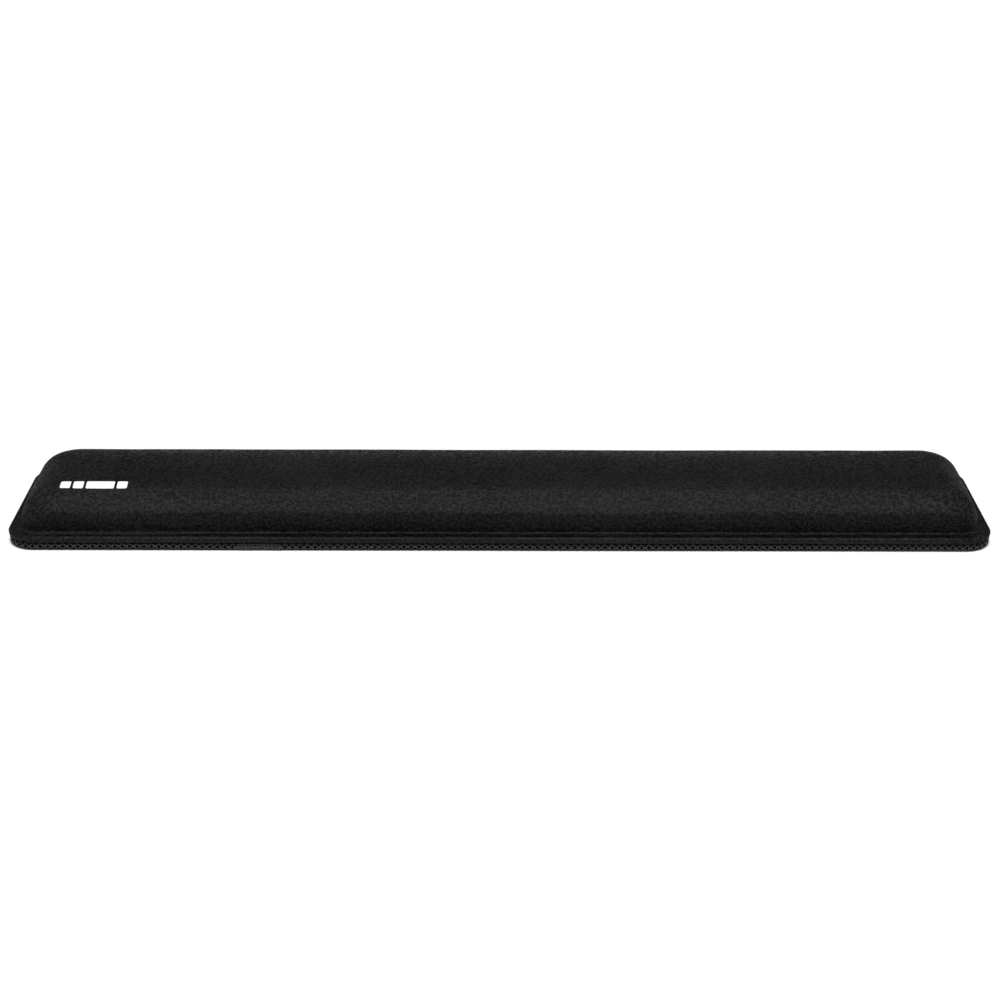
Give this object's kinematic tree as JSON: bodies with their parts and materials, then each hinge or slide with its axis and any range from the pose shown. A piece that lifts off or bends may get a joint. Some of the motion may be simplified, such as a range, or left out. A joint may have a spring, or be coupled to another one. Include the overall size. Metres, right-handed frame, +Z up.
{
  "type": "keyboard wrist rest",
  "caption": "Long low keyboard wrist rest: a crowned memory-foam pad in a stretch-knit cover, overlocked round its rim to a non-slip rubber base.",
  "frame": {"origin": "on the surface that the rest lies on, under the middle of the rest", "axes": "+X along the length towards the user's right hand, +Y away from the user towards the keyboard, +Z up"},
  "size_m": [0.44, 0.08, 0.0258],
  "materials": {
    "base_rubber": "matt black natural rubber with a fine moulded non-slip texture",
    "adhesive": "thin translucent hot-melt film",
    "foam": "slow-rebound polyurethane foam, fine closed skin",
    "cover_knit": "black fine-gauge stretch knit, smooth and matt with a soft sheen",
    "sewing_thread": "black textured polyester sewing thread",
    "print_film": "white heat-transfer print, matt"
  },
  "bodies": {
    "root": {"rubber_base": "base_rubber", "base_adhesive": "adhesive", "foam_core": "foam", "knit_cover": "cover_knit", "needle_thread": "sewing_thread", "upper_looper_thread": "sewing_thread", "lower_looper_thread": "sewing_thread", "printed_mark": "print_film"}
  },
  "joints": []
}
